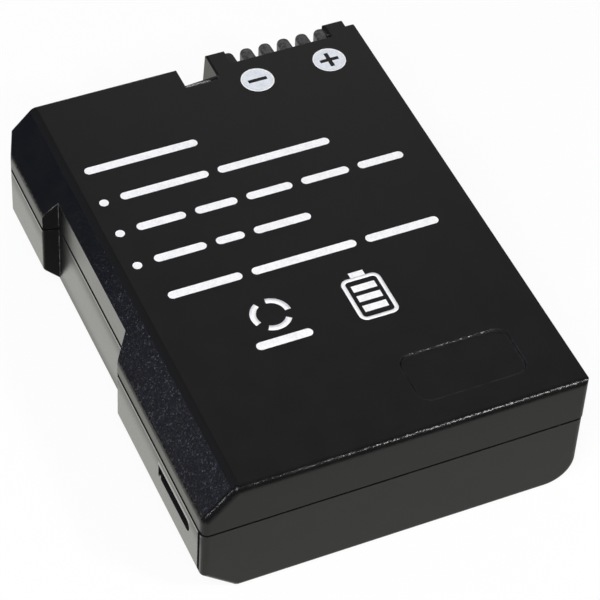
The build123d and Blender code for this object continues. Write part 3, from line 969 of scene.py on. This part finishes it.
def polarity_disc_tree():
    defaults = {
        "X": 0.0, "Y": 0.0, "Radius": 0.0016, "Arm Length": 0.002, "Arm Width": 0.0003, "Plus": False,
    }
    start, entry = start_tree("polarity_disc", defaults)
    arm = block(start, entry["Arm Length"], entry["Arm Width"], cutter_depth)
    crossed = start.node("GeometryNodeTransform", sockets={"Geometry": arm, "Rotation": quarter_turn})
    cut = start.node(
        "GeometryNodeMeshBoolean",
        {"operation": "DIFFERENCE", "solver": "EXACT"},
        {
            "Mesh 1": ink_disc(start, disc_sides, entry["Radius"]),
            "Mesh 2": [arm, shown_if(entry["Plus"], crossed)],
        },
        "Mesh",
    )
    return end_tree(on_roof(cut, entry), silver_ink)


def ink_ring_tree():
    start, entry = start_tree("ink_ring", {"X": 0.0, "Y": 0.0, "Radius": 0.0016, "Band": 0.0001})
    circle = {"Resolution": disc_sides, "Radius": entry["Radius"] + entry["Band"] / 2}
    path = start.node("GeometryNodeCurvePrimitiveCircle", sockets=circle, output="Curve")
    return end_tree(on_roof(swept_band(path, entry["Band"]), entry), white_ink)


polarity_disc = polarity_disc_tree()
ink_ring = ink_ring_tree()

# %% [markdown]
# ## Minus and plus
# Disc and ring are separate prints on the real cover too, one colour after the other. A hair's
# gap between them keeps the two meshes from sharing a wall.

# %% Print the polarity discs
disc_radius = 1.69 * mm
ring_band = 0.16 * mm
ring_gap = 0.004 * mm
arm_length = 2.0 * mm
arm_width = 0.44 * mm
disc_places = {"minus": (6.49 * mm, 21.23 * mm), "plus": (14.40 * mm, 21.38 * mm)}
for sign, (x, y) in disc_places.items():
    face = {
        "X": x, "Y": y, "Radius": disc_radius - ring_band - ring_gap,
        "Arm Length": arm_length, "Arm Width": arm_width, "Plus": sign == "plus",
    }
    grow(f"polarity_disc_{sign}", polarity_disc, face)
    ring = {"X": x, "Y": y, "Radius": disc_radius - ring_band, "Band": ring_band}
    grow(f"polarity_ring_{sign}", ink_ring, ring)

# %% [markdown]
# ## Two plain signs
# Below the lines, the roof carries two small signs that any pack could have: a ring of three arcs
# for a cell that can be charged again and again, over one more bar, and an upright battery with
# its level shown in three bars. Arcs and bars repeat, so each sign is a tree: one arc is made and
# copied round the ring, one level bar is made and copied up the battery.

# %% Trees for the signs
arc_steps = 24
corner_steps = 6
level_margin_bands = 3
nub_width_share = 2.4
nub_height_bands = 1.6
nub_rise_bands = 1.3


def arc_ring_tree():
    defaults = {"X": 0.0, "Y": 0.0, "Radius": 0.0017, "Band": 0.0005, "Arcs": 3, "Sweep": 1.5}
    start, entry = start_tree("arc_ring", defaults)
    arc = {"Resolution": arc_steps, "Radius": entry["Radius"], "Sweep Angle": entry["Sweep"]}
    path = start.node("GeometryNodeCurveArc", {"mode": "RADIUS"}, arc, "Curve")
    centres = start.node("GeometryNodeMeshLine", sockets={"Count": entry["Arcs"], "Offset": (0, 0, 0)})
    turn = start.node("GeometryNodeInputIndex") * (2 * math.pi) / entry["Arcs"]
    ring = start.node(
        "GeometryNodeInstanceOnPoints",
        sockets={
            "Points": centres,
            "Instance": swept_band(path, entry["Band"]),
            "Rotation": point(start, 0.0, 0.0, turn),
        },
    )
    return end_tree(on_roof(ring, entry), white_ink)


def battery_sign_tree():
    defaults = {
        "X": 0.0, "Y": 0.0, "Width": 0.0034, "Height": 0.0052, "Band": 0.0004, "Corner": 0.0006,
        "Levels": 3, "Level Pitch": 0.0013, "Level Height": 0.0008,
    }
    start, entry = start_tree("battery_sign", defaults)
    width, height, band_width, pitch = [entry[label] for label in ("Width", "Height", "Band", "Level Pitch")]
    sides = {"Width": width, "Height": height}
    corners = {
        "Curve": start.node("GeometryNodeCurvePrimitiveQuadrilateral", sockets=sides),
        "Radius": entry["Corner"],
        "Count": corner_steps,
    }
    outline = swept_band(start.node("GeometryNodeFilletCurve", {"mode": "POLY"}, corners), band_width)
    level = block(start, width - band_width * level_margin_bands, entry["Level Height"], ink_film)
    stack = {
        "Count": entry["Levels"],
        "Start Location": point(start, 0.0, pitch * (1 - entry["Levels"]) / 2),
        "Offset": point(start, 0.0, pitch),
    }
    places = start.node("GeometryNodeMeshLine", sockets=stack)
    levels = start.node("GeometryNodeInstanceOnPoints", sockets={"Points": places, "Instance": level})
    nub = block(start, width / nub_width_share, band_width * nub_height_bands, ink_film)
    nub = moved(nub, point(start, 0.0, height / 2 + band_width * nub_rise_bands))
    sign = start.node("GeometryNodeJoinGeometry", sockets={"Geometry": [outline, levels, nub]})
    return end_tree(on_roof(sign, entry), white_ink)


arc_ring = arc_ring_tree()
battery_sign = battery_sign_tree()

# %% [markdown]
# ## The signs on the roof
# Each sign is given its place and its outer sizes, and takes the rest from its tree's own values.
# The bar under the ring is one more run of the tree for printed lines.

# %% Print the signs
ring_face = {"X": -4.84 * mm, "Y": -8.45 * mm, "Radius": 1.7 * mm, "Band": 0.6 * mm}
ring_caption = {
    "Start": -7.7 * mm, "Length": 5.6 * mm, "Level": -11.75 * mm, "Bars": 1, "Dot": False,
    "Gap": bar_gap, "Bar Height": bar_height,
}
battery_face = {"X": 4.6 * mm, "Y": -9.7 * mm, "Width": 3.6 * mm, "Height": 5.0 * mm}
grow("charge_ring", arc_ring, ring_face)
grow("ring_caption", printed_line, ring_caption)
grow("battery_sign", battery_sign, battery_face)
